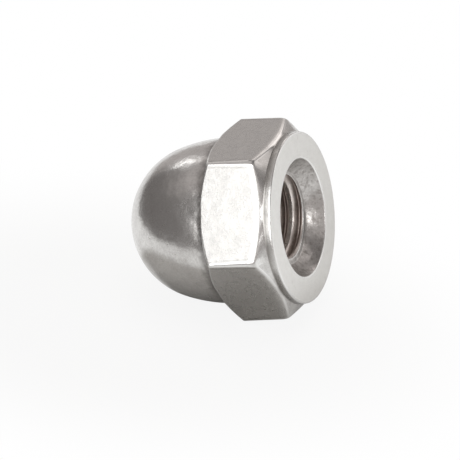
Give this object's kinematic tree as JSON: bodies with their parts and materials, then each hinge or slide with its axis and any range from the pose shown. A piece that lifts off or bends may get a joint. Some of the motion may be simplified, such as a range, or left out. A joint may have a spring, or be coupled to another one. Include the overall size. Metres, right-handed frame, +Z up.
{
  "type": "cap nut",
  "caption": "Hexagon nut closed by a low round crown, with a blind threaded hole that covers and protects a screw's end.",
  "frame": {"origin": "centre of the washer face, on the thread's axis", "axes": "+Z up as the nut lies at rest on its crown and one edge of the hexagon; the thread's axis lies in the XZ plane and its mouth opens towards +X, raised 13.9 degrees; +Y runs across two opposite corners of the hexagon"},
  "size_m": [0.0107, 0.011, 0.0102],
  "materials": {
    "bright_steel": "bare stainless steel, tumbled bright, with fine machining grain on the flats and a matte washer face"
  },
  "bodies": {
    "root": {"cap_nut": "bright_steel"}
  },
  "joints": []
}
